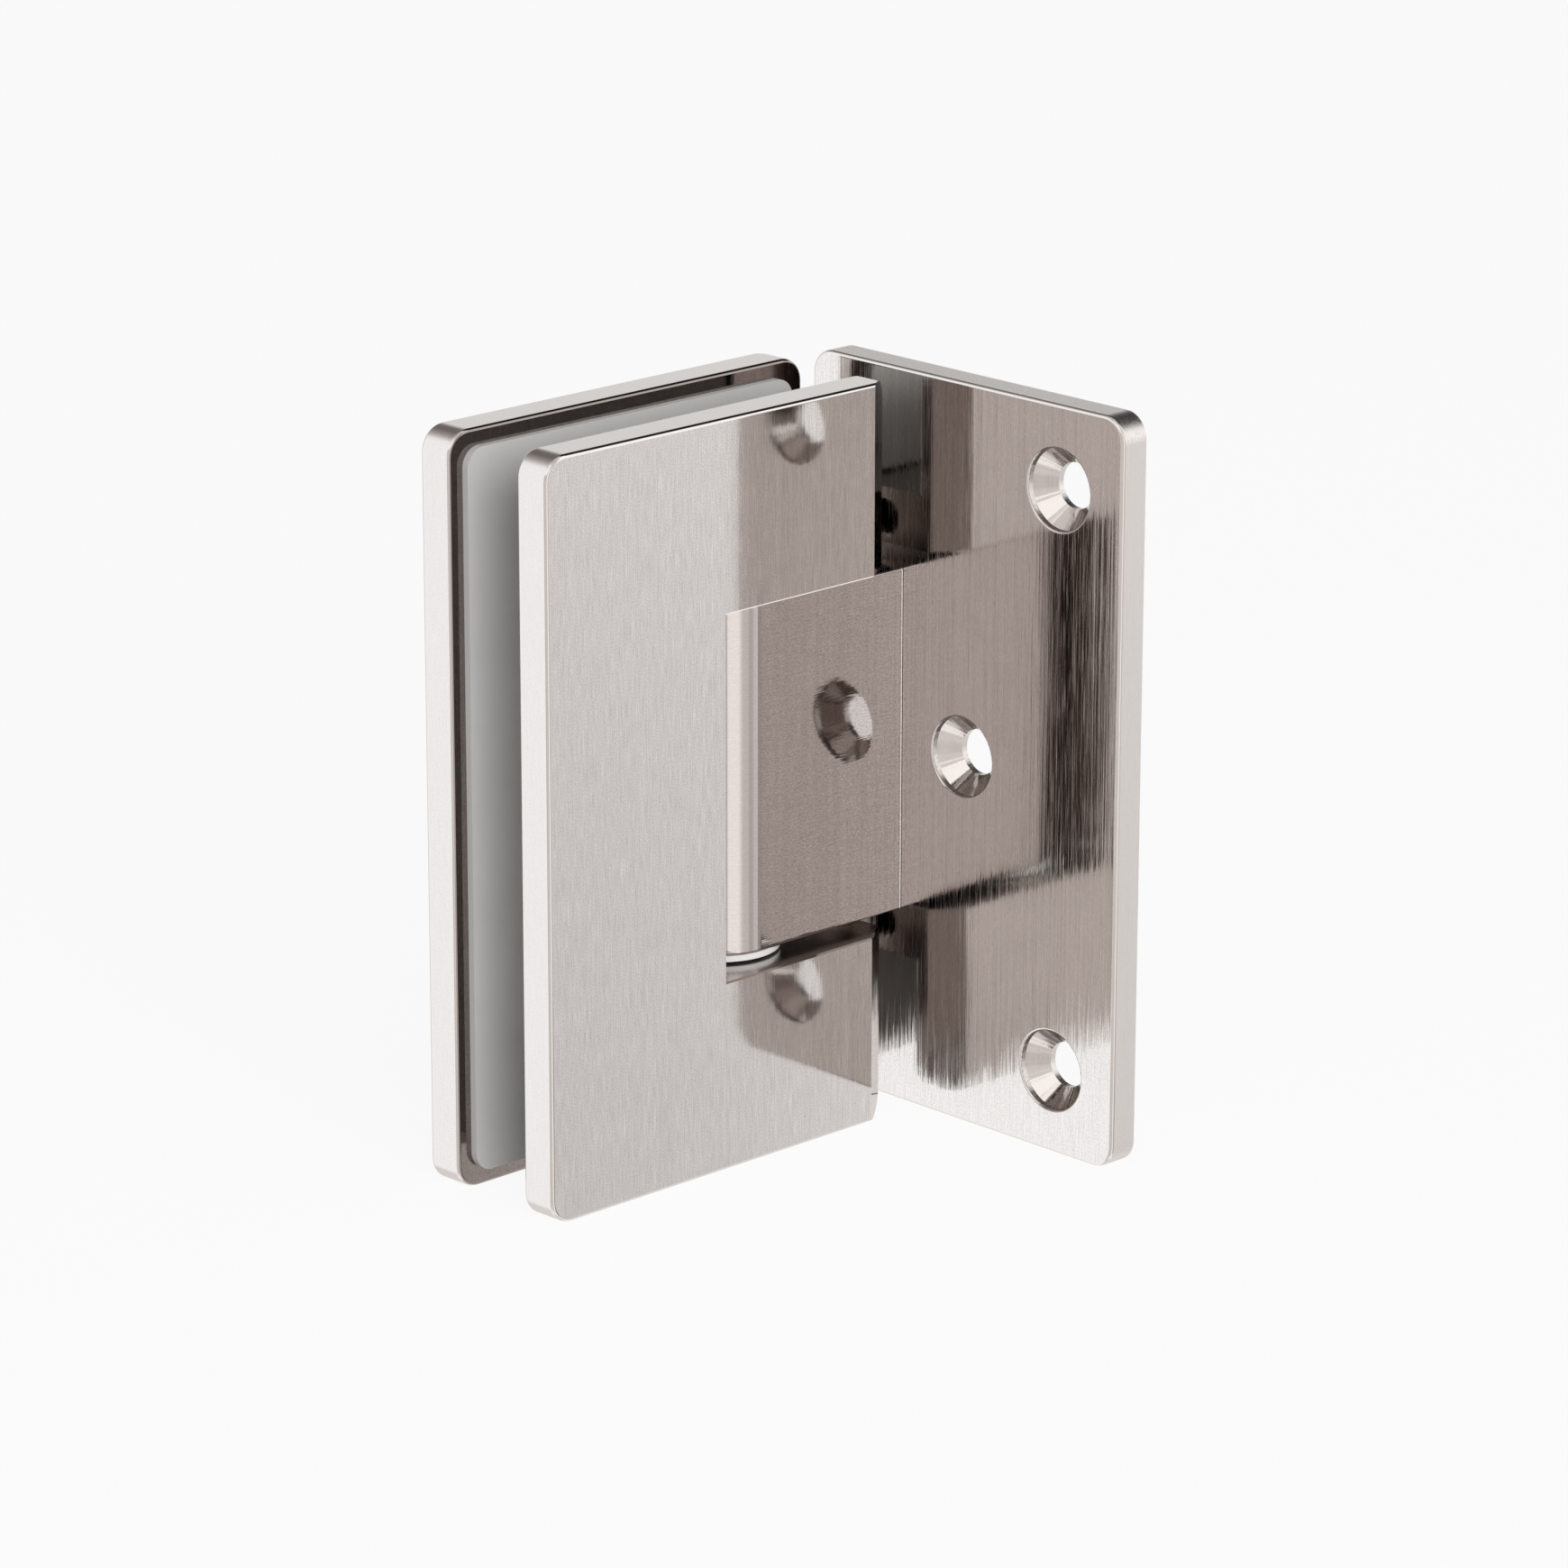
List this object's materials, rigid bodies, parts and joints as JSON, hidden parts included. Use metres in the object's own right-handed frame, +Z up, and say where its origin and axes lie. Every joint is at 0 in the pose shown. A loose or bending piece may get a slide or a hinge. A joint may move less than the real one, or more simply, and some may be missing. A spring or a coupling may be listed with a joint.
{
  "type": "glass door hinge",
  "caption": "Wall-to-glass shower door hinge: offset screw-on wall plate with a round-ended pivot block, and notched clamping leaves that swing on an upright pin.",
  "frame": {"origin": "middle of the wall plate's back face, on the axis of its middle screw hole", "axes": "+X into the wall, square to the wall plate's back face; +Z up, parallel to the pivot axis; the closed door's glass lies towards -X, and the wall plate's three screw holes on the -Y side of the pivot"},
  "size_m": [0.0628, 0.0525, 0.09],
  "materials": {
    "satin_plate": "polished nickel, brushed upright",
    "satin_block": "satin nickel, brushed along the block",
    "satin_leaf": "polished nickel, brushed upright",
    "gasket": "matt, frosted",
    "nylon": "matt",
    "pin_steel": "ground",
    "spring_steel": "drawn wire",
    "screw_steel": "satin"
  },
  "bodies": {
    "wall_side": {"wall_plate": "satin_plate", "pivot_block": "satin_block", "block_screw_upper": "screw_steel", "block_screw_lower": "screw_steel", "bushing_upper": "nylon", "bushing_lower": "nylon", "washer_upper": "nylon", "washer_lower": "nylon", "plunger_upper": "pin_steel", "plunger_lower": "pin_steel", "spring_upper": "spring_steel", "spring_lower": "spring_steel"},
    "glass_side": {"front_leaf": "satin_leaf", "rear_leaf": "satin_leaf", "front_gasket": "gasket", "rear_gasket": "gasket", "pivot_pin": "pin_steel", "grub_screw_upper": "screw_steel", "grub_screw_lower": "screw_steel", "clamp_screw_upper": "screw_steel", "clamp_screw_lower": "screw_steel"}
  },
  "joints": [
    {"name": "door_swing", "type": "hinge", "parent": "wall_side", "child": "glass_side", "pos_m": [-0.0267, 0.017, 0], "axis": [0, 0, 1], "range_deg": [-90, 90]}
  ]
}
